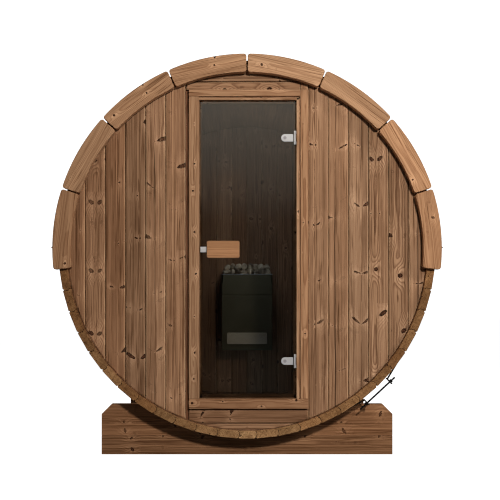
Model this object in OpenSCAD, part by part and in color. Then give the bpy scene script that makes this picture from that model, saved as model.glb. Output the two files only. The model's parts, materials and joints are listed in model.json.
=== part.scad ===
// Barrel sauna: a round shell of straight timber staves on two cradles, held by two steel bands.
// The front end wall has a glass door in a timber frame, and a heater hangs on the rear end wall.
// Millimetres. +Z is up, the front faces -Y, and the origin is on the ground under the middle.

/* [Barrel] */
// Outer radius of the barrel, at the corners between staves
barrel_r = 1000; // [800:10:1300]
// Length of the staves
barrel_l = 1800; // [1500:50:3000]
// Thickness of the staves
stave_t = 42; // [30:0.2:52]
// Width of the narrow closing stave at the bottom
closing_w = 94; // [70:1:119]
// Gap between neighbouring staves
stave_gap = 0.4; // [0.3:0.1:1]
// Height of the barrel's underside above the ground
clearance_z = 113.5; // [110:0.5:140]

/* [End walls] */
// Thickness of the end walls
wall_t = 42; // [30:1:55]
// How far the end walls stand back from the stave ends
wall_recess = 30; // [20:1:60]
// Clearance between round pieces that seat on each other
fit = 0.3; // [0.2:0.1:0.6]

/* [Fascia] */
// How far the trim ring's boards reach out past the staves
fascia_out = 24; // [12:1:40]
// Width of the trim boards
fascia_w = 97; // [80:1:110]
// Thickness of the trim boards
fascia_t = 45; // [25:1:60]
// How far the ring's centre stands above the barrel's centre
fascia_rise = 7; // [0:1:10]
// Angle that each trim board covers
fascia_step = 24; // [20:1:24]
// Angle from the top to the ring's lower ends
fascia_end = 96.5; // [90:0.5:98]
// Gap between neighbouring trim boards
fascia_gap = 7; // [2:0.5:10]

/* [Roof cover] */
// Thickness of the roofing membrane
cover_t = 6; // [5:0.5:9]
// Height of its lower edges above the barrel's centre
cover_low = 10.5; // [5:0.5:30]
// How far the drip edges stand out from the membrane
drip_out = 31; // [10:1:35]
// Height of the drip edges
drip_h = 34; // [20:1:60]

/* [Door frame] */
// Outer width of the frame
frame_w = 636; // [530:1:780]
// Outer height of the frame
frame_h = 1698; // [1500:1:1710]
// Height of the frame's underside above the barrel's underside
frame_z = 156.5; // [150:0.5:200]
// Sideways place of the frame's centre
frame_x = 8; // [0:1:10]
// Width of the left jamb
jamb_left_w = 56; // [50:1:60]
// Width of the hinge-side jamb, with its strip
jamb_right_w = 63; // [58:1:70]
// Height of the head
head_h = 55; // [50:1:60]
// Height of the threshold
sill_h = 54; // [50:1:70]
// How far the frame stands out from the wall
frame_proud = 12; // [5:1:20]
// Width of the recess between the left boards and the frame
recess_w = 17; // [10:1:20]
// Depth of the stops behind the door
stop_t = 15; // [12:1:20]
// How far the stops reach into the doorway
stop_w = 14; // [10:1:20]
// Height of the stop on the threshold
stop_low = 22; // [18:1:30]

/* [Door] */
// Thickness of the glass
glass_t = 8; // [6:1:10]
// Clearance around the glass
glass_gap = 5; // [5:0.5:8]
// How far the glass stands back from the frame's front
glass_back = 20; // [18:1:24]
// Height of the two hinges above and below the door's middle
hinge_spread = 595; // [450:1:700]
// Radius of the hinge knuckles
knuckle_r = 6; // [5:0.5:7]
// Height of each whole hinge
hinge_h = 72; // [60:1:90]
// Height of the clamps on the glass
clamp_h = 40; // [34:1:44]
// Length of the clamps on the glass, from the hinge pin
clamp_l = 73; // [60:1:90]
// Thickness of the clamp plates
clamp_t = 5; // [4:0.5:6]
// Width of the wooden handle
handle_w = 174; // [140:1:200]
// Height of the wooden handle
handle_h = 91; // [70:1:110]
// Thickness of the outer handle
handle_t = 28; // [20:1:34]
// Thickness of the handle plate inside
handle_in_t = 10; // [6:1:11]
// Distance from the glass's free edge to the handle
handle_inset = 35; // [30:1:60]
// Height of the handle's middle above the glass's lower edge
handle_z = 789; // [700:1:1000]
// Width of the latch plate
latch_w = 34; // [25:1:35]
// Height of the latch plate
latch_h = 30; // [20:1:40]
// Thickness of the latch plate
latch_t = 4; // [3:0.5:6]

/* [Cradles] */
// Width of the cradles
cradle_w = 1600; // [1300:10:1700]
// Height of the cradles
cradle_h = 277; // [240:1:300]
// Thickness of the cradle boards
cradle_t = 45; // [35:1:90]
// Height of the lower board
cradle_base_h = 104; // [80:1:106]
// Chamfer of the upper corners
cradle_cut = 55; // [30:1:70]
// Distance from the stave ends to the cradles
cradle_inset = 200; // [150:5:500]

/* [Bands] */
// Thickness of the steel bands
band_t = 2; // [1.5:0.5:3]
// Width of the steel bands
band_w = 40; // [25:1:50]
// Distance from the stave ends to the middle of the bands
band_inset = 80; // [55:1:120]
// Angle of the tensioners, from straight down towards +X
tension_a = 42.9; // [35:0.1:60]
// Distance from the barrel to the threaded rod
rod_off = 39; // [32:0.2:50]
// Radius of the threaded rod
rod_r = 5; // [4:0.5:6]
// Distance between the lugs
lug_gap = 166; // [140:1:200]
// Thickness of the lugs
lug_t = 6; // [4:1:10]
// How far the rod runs past the lower lug
rod_low = 51; // [40:1:80]
// How far the rod runs past the upper lug
rod_high = 36; // [30:1:60]

/* [Heater] */
// Width of the heater
heater_w = 343; // [300:1:420]
// Depth of the heater
heater_d = 240; // [200:1:300]
// Height of the heater
heater_h = 516; // [450:1:600]
// Height of the heater's underside above the barrel's inside
heater_z = 352; // [200:1:400]
// Gap between the heater and the wall, filled by its brackets
heater_gap = 60; // [40:1:80]
// Height of the stones above the rim
stone_h = 74; // [40:1:90]
// Width of the plate on the heater's front
plate_w = 270; // [200:1:290]
// Height of the plate on the heater's front
plate_h = 77; // [60:1:90]
// Height of the plate above the heater's underside
plate_z = 43; // [20:1:60]
// Thickness of the plate
plate_t = 12; // [6:1:20]

/* [Duckboard] */
// Height of the duckboard's top above the barrel's inside
deck_z = 44; // [40:1:120]
// Thickness of the slats
slat_t = 20; // [18:1:24]
// Number of slats
slat_count = 4; // [3:1:8]
// Gap between the slats
slat_gap = 8; // [5:1:12]
// Number of bearers under the slats
bearer_count = 4; // [3:1:6]

/* [Hidden] */
$fn = 96;

// Staves: twelve groups of four, and one of five with the closing stave at the bottom
stave_count = 52;
group_size = 4;
closing_a = 2 * asin(closing_w / 2 / barrel_r);
stave_a = (360 - closing_a) / stave_count;
stave_half = stave_a / 2;
barrel_z = clearance_z + barrel_r;
end_y = barrel_l / 2;
// Distance from the axis to the staves' inner faces, and to the corners between those faces
inner_flat = barrel_r * cos(stave_half) - stave_t;
inner_r = inner_flat / cos(stave_half);
inner_low = barrel_z - inner_flat;

// Fascia: the trim ring's outer radius, about its own centre
fascia_r = barrel_r + fascia_out;
// Boards on each side of the ring; the lowest runs to its end
fascia_boards = 4;

// End walls: the front wall's two faces, with the rear wall in the mirrored place
wall_y0 = -end_y + wall_recess;
wall_y1 = wall_y0 + wall_t;

// Door frame
frame_x0 = frame_x - frame_w / 2;
frame_x1 = frame_x0 + frame_w;
frame_low = clearance_z + frame_z;
frame_top = frame_low + frame_h;
frame_y0 = wall_y0 - frame_proud;
frame_y1 = wall_y1;
bay_x0 = frame_x0 - recess_w;
bay_x1 = frame_x1;
recess_back = 17;
recess_y0 = wall_y1 - recess_back;
open_x0 = frame_x0 + jamb_left_w;
open_x1 = frame_x1 - jamb_right_w;
open_z0 = frame_low + sill_h;
open_z1 = frame_top - head_h;
// Groove that parts the jamb's face from its inner strip
strip_w = 13;
groove_w = 8;
groove_d = 8;
head_strip = 11;

// Door
glass_x0 = open_x0 + glass_gap;
glass_x1 = open_x1 - glass_gap;
glass_z0 = open_z0 + glass_gap;
glass_z1 = open_z1 - glass_gap;
glass_y0 = frame_y0 + glass_back;
glass_y1 = glass_y0 + glass_t;
door_z = (glass_z0 + glass_z1) / 2;
// The hinge pin stands in front of the glass, just inside its edge
pin_r = 3;
pin_fit = 0.05;
knuckle_gap = 0.5;
knuckle_clear = 2;
pin_x = open_x1 - knuckle_r - knuckle_clear;
pin_y = glass_y0 - knuckle_r - knuckle_clear;
leaf_t = 4;
handle_x0 = glass_x0 + handle_inset;
handle_mid = glass_z0 + handle_z;
latch_mid = handle_mid;
bolt_r = 4;
bolt_fit = 1;

// Cradles
cradle_y = end_y - cradle_inset;

// Bands and tensioners
band_y = end_y - band_inset;
band_r = barrel_r + fit;
rod_line = barrel_r + rod_off;
// The band's straight ends meet the lugs half-way between the barrel and the rod
band_end_r = barrel_r + rod_off / 2;
lug_x = lug_gap / 2;
band_leave = atan2(lug_x, band_end_r)
    + acos((band_r + band_t) / norm([lug_x, band_end_r]));
band_straight = sqrt(pow(norm([lug_x, band_end_r]), 2) - pow(band_r + band_t, 2));
crimp_l = 30;
crimp_t = 2;
lug_h = 40;
lug_past = 14;
lug_low = rod_line + lug_past;
nut_r = 10;
nut_t = 8;

// Roof cover
cover_in = barrel_r + fit;
cover_r = cover_in + cover_t;
cover_z = barrel_z + cover_low;
// Height of the drip edges' outer lips
drip_lip = drip_h / 8;

// Heater
heater_low = inner_low + heater_z;
heater_top = heater_low + heater_h;
heater_y1 = -wall_y1 - heater_gap;
heater_y0 = heater_y1 - heater_d;
heater_wall = 12;
stone_seat = 60;
stone_slope = 12;
bracket_w = 40;
bracket_x = heater_w / 4;
// Height of the heap's upright sides above the rim
stone_side = stone_h / 4;

// Duckboard
deck_top = inner_low + deck_z;
slat_low = deck_top - slat_t;
deck_clear = 2;
deck_half = sqrt(pow(inner_flat - deck_clear, 2) - pow(barrel_z - slat_low, 2));
slat_w = (2 * deck_half - (slat_count - 1) * slat_gap) / slat_count;
deck_end = 8;
bearer_w = 45;

// Extrudes a shape drawn in X and Z from y0 to y1
module along_y(y0, y1) {
    translate([0, y1, 0]) rotate([90, 0, 0]) linear_extrude(y1 - y0) children();
}

// A box from its two corners
module block(low, high) {
    translate(low) cube(high - low);
}

// A point at this radius and angle, the angle from straight down towards +X
function spoke(r, a) = [r * sin(a), -r * cos(a)];

// The angles of the joints between staves, from the closing stave round to it again
joints = [for (i = [0 : stave_count]) closing_a / 2 + i * stave_a];

// ---- Staves ----

// One stave from angle a0 to a1: a trapezium whose outer corners lie at the barrel's radius
module stave(a0, a1) {
    inset = stave_gap / 2 / barrel_r * 180 / PI;
    inner = barrel_r - stave_t / cos((a1 - a0) / 2);
    b0 = a0 + inset;
    b1 = a1 - inset;
    along_y(-end_y, end_y) translate([0, barrel_z])
        polygon([spoke(barrel_r, b0), spoke(barrel_r, b1), spoke(inner, b1), spoke(inner, b0)]);
}

module stave_number(i) {
    stave(closing_a / 2 + i * stave_a, closing_a / 2 + (i + 1) * stave_a);
}

// Group k of four staves, counted from the bottom group towards +X
module stave_group(k) {
    color([0.42, 0.27, 0.17])
        for (i = [0 : group_size - 1]) stave_number(group_size / 2 + (k - 1) * group_size + i);
}

module staves_bottom() {
    color([0.42, 0.27, 0.17]) {
        stave(-closing_a / 2, closing_a / 2);
        for (i = [0 : group_size / 2 - 1]) {
            stave_number(i);
            stave_number(stave_count - 1 - i);
        }
    }
}

// ---- End walls ----

// The round of the barrel's inside, with clearance to the staves
module inner_round() {
    translate([0, barrel_z]) polygon([for (a = joints) spoke(inner_r - fit, a)]);
}

// A part of the front wall between x0 and x1 and between z0 and z1
module front_wall_part(x0, x1, z0, z1) {
    color([0.45, 0.29, 0.18]) along_y(wall_y0, wall_y1) intersection() {
        inner_round();
        translate([x0, z0]) square([x1 - x0, z1 - z0]);
    }
}

module front_wall_left() {
    front_wall_part(-barrel_r, bay_x0, 0, 2 * barrel_z);
}

module front_wall_right() {
    front_wall_part(bay_x1, barrel_r, 0, 2 * barrel_z);
}

module front_wall_header() {
    front_wall_part(bay_x0, bay_x1, frame_top, 2 * barrel_z);
}

module front_wall_sill() {
    front_wall_part(frame_x0, bay_x1, 0, frame_low);
}

module rear_wall() {
    color([0.45, 0.29, 0.18]) along_y(-wall_y1, -wall_y0) inner_round();
}

// ---- Fascia ----

// One trim board between two angles from the top, drawn in X and Z
module fascia_board(a0, a1) {
    half = (a1 - a0) / 2;
    mid = (a0 + a1) / 2;
    tip = fascia_gap / 2 / sin(half);
    reach = 1.3 * fascia_r;
    translate([0, barrel_z + fascia_rise]) rotate(-mid) intersection() {
        difference() {
            circle(fascia_r, $fn = 180);
            circle(fascia_r - fascia_w, $fn = 180);
        }
        polygon([
            [0, tip],
            [reach * sin(half), tip + reach * cos(half)],
            [-reach * sin(half), tip + reach * cos(half)]
        ]);
    }
}

// The boards on one side, from the top down to the ring's lower end
module fascia(side, y0) {
    color([0.5, 0.31, 0.2]) along_y(y0, y0 + fascia_t) for (i = [0 : fascia_boards - 1]) {
        low = i == fascia_boards - 1 ? fascia_end : (i + 1) * fascia_step;
        if (side > 0) fascia_board(i * fascia_step, low);
        else fascia_board(-low, -i * fascia_step);
    }
}

module fascia_front_left() {
    fascia(-1, -end_y - fascia_t);
}

module fascia_front_right() {
    fascia(1, -end_y - fascia_t);
}

module fascia_rear_left() {
    fascia(-1, end_y);
}

module fascia_rear_right() {
    fascia(1, end_y);
}

// ---- Roof cover ----

// The wedge that throws water off the membrane's lower edge, on the side that s names
module drip_edge(s) {
    polygon([
        [s * (cover_r - cover_t / 2), cover_z],
        [s * (cover_r + drip_out), cover_z],
        [s * (cover_r + drip_out), cover_z + drip_lip],
        [s * (cover_r - cover_t / 2), cover_z + drip_h]
    ]);
}

module roof_cover() {
    color([0.06, 0.06, 0.06]) difference() {
        union() {
            along_y(-end_y, end_y) intersection() {
                translate([0, barrel_z]) difference() {
                    circle(cover_r, $fn = 180);
                    circle(cover_in, $fn = 180);
                }
                translate([-2 * barrel_r, cover_z]) square([4 * barrel_r, 2 * barrel_r]);
            }
            along_y(-end_y, end_y) drip_edge(1);
            along_y(-end_y, end_y) drip_edge(-1);
        }
        for (y = [-band_y, band_y])
            along_y(y - band_w / 2 - fit, y + band_w / 2 + fit)
                translate([0, barrel_z]) circle(band_r + band_t + fit, $fn = 180);
    }
}

// ---- Door frame ----

// Left jamb: its face, the stop behind the glass and the backing of the recess beside it
module jamb_left() {
    color([0.55, 0.35, 0.2]) {
        block([frame_x0, frame_y0, open_z0], [open_x0, frame_y1, frame_top]);
        block([open_x0, frame_y1 - stop_t, open_z0], [open_x0 + stop_w, frame_y1, open_z1]);
        along_y(recess_y0, frame_y1) intersection() {
            inner_round();
            translate([bay_x0, 0]) square([recess_w, frame_top]);
        }
    }
}

// Hinge-side jamb: a groove parts its face from the strip that the hinges are screwed to
module jamb_right() {
    groove_x0 = open_x1 + strip_w;
    color([0.55, 0.35, 0.2]) difference() {
        union() {
            block([open_x1, frame_y0, open_z0], [frame_x1, frame_y1, frame_top]);
            block([open_x1 - stop_w, frame_y1 - stop_t, open_z0], [open_x1, frame_y1, open_z1]);
        }
        block([groove_x0, frame_y0 - 1, open_z0], [groove_x0 + groove_w, frame_y0 + groove_d,
            open_z1 + head_strip + groove_w]);
    }
}

module door_head() {
    groove_z0 = open_z1 + head_strip;
    color([0.55, 0.35, 0.2]) difference() {
        union() {
            block([open_x0, frame_y0, open_z1], [open_x1, frame_y1, frame_top]);
            block([open_x0 + stop_w, frame_y1 - stop_t, open_z1 - stop_w],
                [open_x1 - stop_w, frame_y1, open_z1]);
        }
        block([open_x0 - 1, frame_y0 - 1, groove_z0],
            [open_x1 + 1, frame_y0 + groove_d, groove_z0 + groove_w]);
    }
}

module door_threshold() {
    color([0.55, 0.35, 0.2]) {
        block([frame_x0, frame_y0, frame_low], [frame_x1, frame_y1, open_z0]);
        block([open_x0 + stop_w, frame_y1 - stop_t, open_z0],
            [open_x1 - stop_w, frame_y1, open_z0 + stop_low]);
    }
}

// The fixed half of both hinges: two knuckles, the pin through them and a leaf on the jamb
module hinge_pins() {
    end_h = (hinge_h - clamp_h) / 2 - knuckle_gap;
    color([0.75, 0.75, 0.76]) for (s = [-1, 1]) translate([pin_x, pin_y, door_z + s * hinge_spread]) {
        for (t = [-1, 1]) translate([0, 0, t * (hinge_h - end_h) / 2]) {
            cylinder(r = knuckle_r, h = end_h, center = true);
            translate([(open_x1 - pin_x) / 2, 0, 0])
                cube([open_x1 - pin_x, leaf_t, end_h], center = true);
        }
        cylinder(r = pin_r, h = hinge_h, center = true);
    }
}

// ---- Door ----

module door_glass() {
    color([0.1, 0.09, 0.08, 0.6]) difference() {
        block([glass_x0, glass_y0, glass_z0], [glass_x1, glass_y1, glass_z1]);
        for (s = [-1, 1]) translate([pin_x - clamp_l / 2, 0, door_z + s * hinge_spread])
            clamp_bolt(bolt_r + bolt_fit);
    }
}

// A bolt's shank through the glass, along Y
module clamp_bolt(r) {
    translate([0, glass_y1, 0]) rotate([90, 0, 0]) cylinder(r = r, h = glass_t);
}

// A clamp plate's outline in X and Z, round at its free end
module clamp_outline() {
    translate([-clamp_l + clamp_h / 2, 0]) circle(clamp_h / 2);
    translate([-clamp_l + clamp_h / 2, -clamp_h / 2]) square([clamp_l - clamp_h / 2, clamp_h]);
}

// The moving half of both hinges: a plate on each side of the glass, and the knuckle
module hinge_clamps() {
    color([0.75, 0.75, 0.76]) for (s = [-1, 1]) translate([pin_x, 0, door_z + s * hinge_spread]) {
        difference() {
            union() {
                along_y(glass_y0 - clamp_t, glass_y0) clamp_outline();
                translate([0, pin_y, 0]) cylinder(r = knuckle_r, h = clamp_h, center = true);
            }
            translate([0, pin_y, 0])
                cylinder(r = pin_r + pin_fit, h = clamp_h + 1, center = true);
        }
        intersection() {
            along_y(glass_y1, glass_y1 + clamp_t) clamp_outline();
            block([-clamp_l, glass_y1, -clamp_h], [glass_x1 - pin_x, glass_y1 + clamp_t, clamp_h]);
        }
        translate([-clamp_l / 2, 0, 0]) clamp_bolt(bolt_r);
    }
}

module door_handle_outer() {
    color([0.66, 0.42, 0.25])
        block([handle_x0, glass_y0 - handle_t, handle_mid - handle_h / 2],
            [handle_x0 + handle_w, glass_y0, handle_mid + handle_h / 2]);
}

module door_handle_inner() {
    color([0.66, 0.42, 0.25])
        block([handle_x0, glass_y1, handle_mid - handle_h / 2],
            [handle_x0 + handle_w, glass_y1 + handle_in_t, handle_mid + handle_h / 2]);
}

module latch_plate() {
    color([0.75, 0.75, 0.76])
        block([glass_x0, glass_y0 - latch_t, latch_mid - latch_h / 2],
            [glass_x0 + latch_w, glass_y0, latch_mid + latch_h / 2]);
}

// ---- Cradles ----

// The lower board of a cradle whose outer face is at y0
module cradle_base(y0) {
    color([0.4, 0.25, 0.16])
        block([-cradle_w / 2, y0, 0], [cradle_w / 2, y0 + cradle_t, cradle_base_h]);
}

// The upper board: chamfered ends, and an arc that the barrel lies in
module cradle_saddle(y0) {
    half = cradle_w / 2;
    color([0.4, 0.25, 0.16]) along_y(y0, y0 + cradle_t) difference() {
        polygon([
            [-half, cradle_base_h],
            [half, cradle_base_h],
            [half, cradle_h - cradle_cut],
            [half - cradle_cut, cradle_h],
            [-half + cradle_cut, cradle_h],
            [-half, cradle_h - cradle_cut]
        ]);
        translate([0, barrel_z]) circle(barrel_r + fit, $fn = 180);
    }
}

module front_cradle_base() {
    cradle_base(-cradle_y);
}

module front_cradle_saddle() {
    cradle_saddle(-cradle_y);
}

module rear_cradle_base() {
    cradle_base(cradle_y - cradle_t);
}

module rear_cradle_saddle() {
    cradle_saddle(cradle_y - cradle_t);
}

// ---- Bands and tensioners ----

// Turns a shape about the barrel's axis so that straight down points at the tensioner
module at_tensioner(y) {
    translate([0, y, barrel_z]) rotate([0, -tension_a, 0]) children();
}

// One band: a ring open at the tensioner, crimped to straight ends that run to two bored lugs
module band(y) {
    reach = 1.5 * barrel_r;
    outer = band_r + band_t;
    color([0.05, 0.05, 0.05]) at_tensioner(y) difference() {
        union() {
            along_y(-band_w / 2, band_w / 2) {
                difference() {
                    circle(outer, $fn = 180);
                    circle(band_r, $fn = 180);
                    polygon([[0, 0], spoke(reach, -band_leave), spoke(reach, band_leave)]);
                }
                for (s = [-1, 1]) rotate(s * band_leave) mirror([s > 0 ? 1 : 0, 0]) {
                    translate([0, -outer]) square([band_straight, band_t]);
                    translate([-crimp_l / 2, -outer - crimp_t]) square([crimp_l, crimp_t + band_t / 2]);
                }
            }
            for (s = [-1, 1]) translate([s * lug_x, 0, -lug_low + lug_h / 2])
                cube([lug_t, band_w, lug_h], center = true);
        }
        rod(-lug_x - lug_t, lug_x + lug_t, rod_r + fit);
    }
}

// A round bar along the tensioner's rod line
module rod(x0, x1, r) {
    translate([x0, 0, -rod_line]) rotate([0, 90, 0]) cylinder(r = r, h = x1 - x0);
}

// The threaded rod with a nut outside each lug
module tensioner(y) {
    face = lug_x + lug_t / 2;
    color([0.6, 0.6, 0.62]) at_tensioner(y) {
        rod(-lug_x - rod_low, lug_x + rod_high, rod_r);
        for (s = [-1, 1]) translate([s > 0 ? face : -face - nut_t, 0, -rod_line])
            rotate([0, 90, 0]) cylinder(r = nut_r, h = nut_t, $fn = 6);
    }
}

module band_front() {
    band(-band_y);
}

module band_rear() {
    band(band_y);
}

module tensioner_front() {
    tensioner(-band_y);
}

module tensioner_rear() {
    tensioner(band_y);
}

// ---- Heater ----

// A box with a pocket for the stones, on two brackets that reach the rear wall
module heater_body() {
    half = heater_w / 2;
    color([0.1, 0.11, 0.1]) {
        difference() {
            block([-half, heater_y0, heater_low], [half, heater_y1, heater_top]);
            block([-half + heater_wall, heater_y0 + heater_wall, heater_top - stone_seat],
                [half - heater_wall, heater_y1 - heater_wall, heater_top + 1]);
        }
        for (s = [-1, 1]) translate([s * bracket_x, 0, 0])
            block([-bracket_w / 2, heater_y1, heater_low + bracket_w],
                [bracket_w / 2, -wall_y1, heater_top - bracket_w]);
    }
}

// The heap of stones: a block in the pocket that narrows above the rim
module heater_stones() {
    half = heater_w / 2 - heater_wall - fit;
    y0 = heater_y0 + heater_wall + fit;
    y1 = heater_y1 - heater_wall - fit;
    color([0.3, 0.31, 0.31]) along_y(y0, y1) polygon([
        [-half, heater_top - stone_seat],
        [half, heater_top - stone_seat],
        [half, heater_top + stone_side],
        [half - stone_slope, heater_top + stone_h],
        [-half + stone_slope, heater_top + stone_h],
        [-half, heater_top + stone_side]
    ]);
}

module heater_plate() {
    z0 = heater_low + plate_z;
    color([0.5, 0.5, 0.48])
        block([-plate_w / 2, heater_y0 - plate_t, z0], [plate_w / 2, heater_y0, z0 + plate_h]);
}

// ---- Duckboard ----

// Slats along the barrel, fused to cross bearers that are cut to the round of the staves
module duckboard() {
    deck_y = -wall_y1 - deck_end;
    bearer_step = (2 * deck_y - bearer_w) / (bearer_count - 1);
    color([0.5, 0.33, 0.2]) {
        for (i = [0 : slat_count - 1]) translate([-deck_half + i * (slat_w + slat_gap), 0, 0])
            block([0, -deck_y, slat_low], [slat_w, deck_y, deck_top]);
        for (i = [0 : bearer_count - 1]) {
            y0 = -deck_y + i * bearer_step;
            along_y(y0, y0 + bearer_w) intersection() {
                inner_round();
                translate([-deck_half, 0]) square([2 * deck_half, slat_low]);
            }
        }
    }
}

staves_bottom();
stave_group(1);  // staves_01
stave_group(2);  // staves_02
stave_group(3);  // staves_03
stave_group(4);  // staves_04
stave_group(5);  // staves_05
stave_group(6);  // staves_06
stave_group(7);  // staves_07
stave_group(8);  // staves_08
stave_group(9);  // staves_09
stave_group(10);  // staves_10
stave_group(11);  // staves_11
stave_group(12);  // staves_12
front_wall_left();
front_wall_right();
front_wall_header();
front_wall_sill();
rear_wall();
fascia_front_left();
fascia_front_right();
fascia_rear_left();
fascia_rear_right();
jamb_left();
jamb_right();
door_head();
door_threshold();
hinge_pins();
door_glass();
hinge_clamps();
door_handle_outer();
door_handle_inner();
latch_plate();
front_cradle_base();
front_cradle_saddle();
rear_cradle_base();
rear_cradle_saddle();
band_front();
band_rear();
tensioner_front();
tensioner_rear();
roof_cover();
heater_body();
heater_stones();
heater_plate();
duckboard();
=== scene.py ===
"""Looks of a barrel sauna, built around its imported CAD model. Metres; +Z is up and the front faces -Y."""

import json
import random
from math import acos, asin, atan2, ceil, copysign, cos, hypot, inf, pi, radians, sin, sqrt

import bmesh
import bpy
import numpy as np
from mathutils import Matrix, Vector


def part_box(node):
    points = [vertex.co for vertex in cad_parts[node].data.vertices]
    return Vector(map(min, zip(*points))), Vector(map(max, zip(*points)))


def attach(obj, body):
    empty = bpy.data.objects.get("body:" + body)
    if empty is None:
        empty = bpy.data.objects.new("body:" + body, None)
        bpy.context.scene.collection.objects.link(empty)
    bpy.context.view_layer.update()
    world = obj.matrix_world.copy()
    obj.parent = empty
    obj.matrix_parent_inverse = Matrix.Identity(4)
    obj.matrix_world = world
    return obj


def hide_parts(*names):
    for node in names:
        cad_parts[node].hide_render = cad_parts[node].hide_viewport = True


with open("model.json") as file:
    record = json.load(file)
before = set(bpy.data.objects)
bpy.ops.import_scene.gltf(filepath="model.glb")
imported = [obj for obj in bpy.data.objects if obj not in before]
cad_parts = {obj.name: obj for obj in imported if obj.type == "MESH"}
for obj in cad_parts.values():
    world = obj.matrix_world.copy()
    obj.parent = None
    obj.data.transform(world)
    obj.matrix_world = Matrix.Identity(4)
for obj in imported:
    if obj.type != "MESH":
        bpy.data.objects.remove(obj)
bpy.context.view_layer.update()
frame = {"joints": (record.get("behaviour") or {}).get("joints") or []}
scene = bpy.context.scene
rng = random.Random(20)

# ---- Driving sizes; places come from the frame ----

FIT = 0.0003  # between pieces that touch
BARREL_R = 1.0  # outer radius, at the corners between staves
STAVE_T = 0.042
STAVE_COUNT = 52  # full-width staves; one narrow stave closes the ring at the bottom
CLOSING_W = 0.094
NOTCH = 0.006  # V-notch between staves, outside
INNER_NOTCH = 0.0004  # at a stave's inner arrises, which all but meet
BEAD = 0.007  # how far each stave's bead stands into its neighbour's cove
JOINT = 0.0008  # closed joint between boards
STAVE_JOINT = 0.002  # between bead and cove
STAVES_A_NODE = 4
STAVE_NODES = 12
OPEN_JOINT = 0.003  # shadow gap at the bottom of a wall board's V-groove
BOARD_W = 0.1071  # wall boards, joint to joint
SIDE_BOARDS = 6  # from the doorway to each side
REAR_BOARDS = 9  # from the rear wall's middle to each side
V_GROOVE = 0.006
SILL_GAP = 0.007  # shadow gap under the threshold
FASCIA_W = 0.097
FASCIA_STEP = 24  # degrees that each trim board covers
FASCIA_END = 96.5
FASCIA_GAP = 0.007
FASCIA_CORNER = 0.014
FASCIA_RISE = 0.007  # the trim ring's centre above the barrel's axis
# Tones of the left side's trim boards (-1) and the right side's (1), from the top. They hold painted light
# and shade: the right side's boards are paler and the lowest board of each side darker, as the light falls
# from above and the right.
FASCIA_LIT_TONES = {-1: (0.62, 0.6, 0.56, 0.34), 1: (0.78, 0.68, 0.66, 0.42)}
TENSION_A = 42.9  # degrees from straight down to the tensioners
ROD_OFF = 0.039  # from the barrel to a tensioner's rod
EASE = 0.0015  # rounded arris on planed timber

closing_a = 2 * asin(CLOSING_W / 2 / BARREL_R)
stave_a = (2 * pi - closing_a) / STAVE_COUNT
inner_flat = BARREL_R * cos(stave_a / 2) - STAVE_T
END_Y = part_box("staves_01")[1].y
barrel_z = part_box("staves_bottom")[0].z + BARREL_R * cos(closing_a / 2)
WALL_Y0, WALL_Y1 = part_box("front_wall_left")[0].y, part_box("front_wall_left")[1].y


def linear(red, green, blue):
    """A colour given as 0 to 255 in sRGB, as linear RGBA."""
    values = [c / 255 for c in (red, green, blue)]
    return tuple(c / 12.92 if c <= 0.04045 else ((c + 0.055) / 1.055) ** 2.4 for c in values) + (1.0,)


# ---- Shader trees ----


class Tree:
    """A node tree, with short calls for the nodes that the materials need."""

    def __init__(self, tree):
        self.tree = tree

    def new(self, kind, **settings):
        node = self.tree.nodes.new(kind)
        for key, value in settings.items():
            setattr(node, key, value)
        return node

    def put(self, socket, value):
        if isinstance(value, bpy.types.NodeSocket):
            self.tree.links.new(value, socket)
        elif value is not None:
            socket.default_value = value

    def fill(self, node, values):
        for socket, value in zip(node.inputs, values):
            self.put(socket, value)
        return node

    def give(self, node, **values):
        """Puts values into a node's inputs by their names, with _ for a space."""
        for name, value in values.items():
            self.put(node.inputs[name.replace("_", " ")], value)
        return node

    def maths(self, operation, *values, clamp=False):
        node = self.new("ShaderNodeMath", operation=operation, use_clamp=clamp)
        return self.fill(node, values).outputs[0]

    def plus(self, first, second, clamp=False):
        return self.maths("ADD", first, second, clamp=clamp)

    def minus(self, first, second, clamp=False):
        return self.maths("SUBTRACT", first, second, clamp=clamp)

    def times(self, first, second):
        return self.maths("MULTIPLY", first, second)

    def over(self, first, second):
        return self.maths("DIVIDE", first, second)

    def squared(self, value):
        return self.maths("POWER", value, 2.0)

    def times_plus(self, value, factor, addend):
        return self.maths("MULTIPLY_ADD", value, factor, addend)

    def vector(self, operation, *values):
        node = self.new("ShaderNodeVectorMath", operation=operation)
        self.fill(node, values)
        return node.outputs["Value" if operation == "LENGTH" else "Vector"]

    def noise(self, place, stretch=(1, 1, 1), scale=1.0, detail=2.0, output="Fac"):
        """stretch is in cycles a metre, along X, Y and Z."""
        node = self.new("ShaderNodeTexNoise")
        self.give(node, Vector=self.vector("MULTIPLY", place, stretch), Scale=scale, Detail=detail)
        return node.outputs[output]

    def step(self, value, low, high, at_low=0.0, at_high=1.0, kind="SMOOTHSTEP"):
        node = self.new("ShaderNodeMapRange", interpolation_type=kind)
        return self.fill(node, (value, low, high, at_low, at_high)).outputs[0]

    def mix(self, share, first, second, blend="MIX"):
        node = self.new("ShaderNodeMix", data_type="RGBA", blend_type=blend)
        for index, value in ((0, share), (6, first), (7, second)):
            self.put(node.inputs[index], value)
        return node.outputs[2]

    def tinted(self, colour, tint):
        return self.mix(1.0, colour, tint, "MULTIPLY")

    def grey(self, value, powers=(1, 1, 1)):
        """A grey of this value, or with each channel raised to a power of its own."""
        node = self.new("ShaderNodeCombineColor")
        for socket, power in zip(node.inputs, powers):
            self.put(socket, value if power == 1 else self.maths("POWER", value, power))
        return node.outputs[0]

    def random(self, place, dimensions="3D"):
        node = self.new("ShaderNodeTexWhiteNoise", noise_dimensions=dimensions)
        self.put(node.inputs["W" if dimensions == "1D" else "Vector"], place)
        return node


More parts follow.
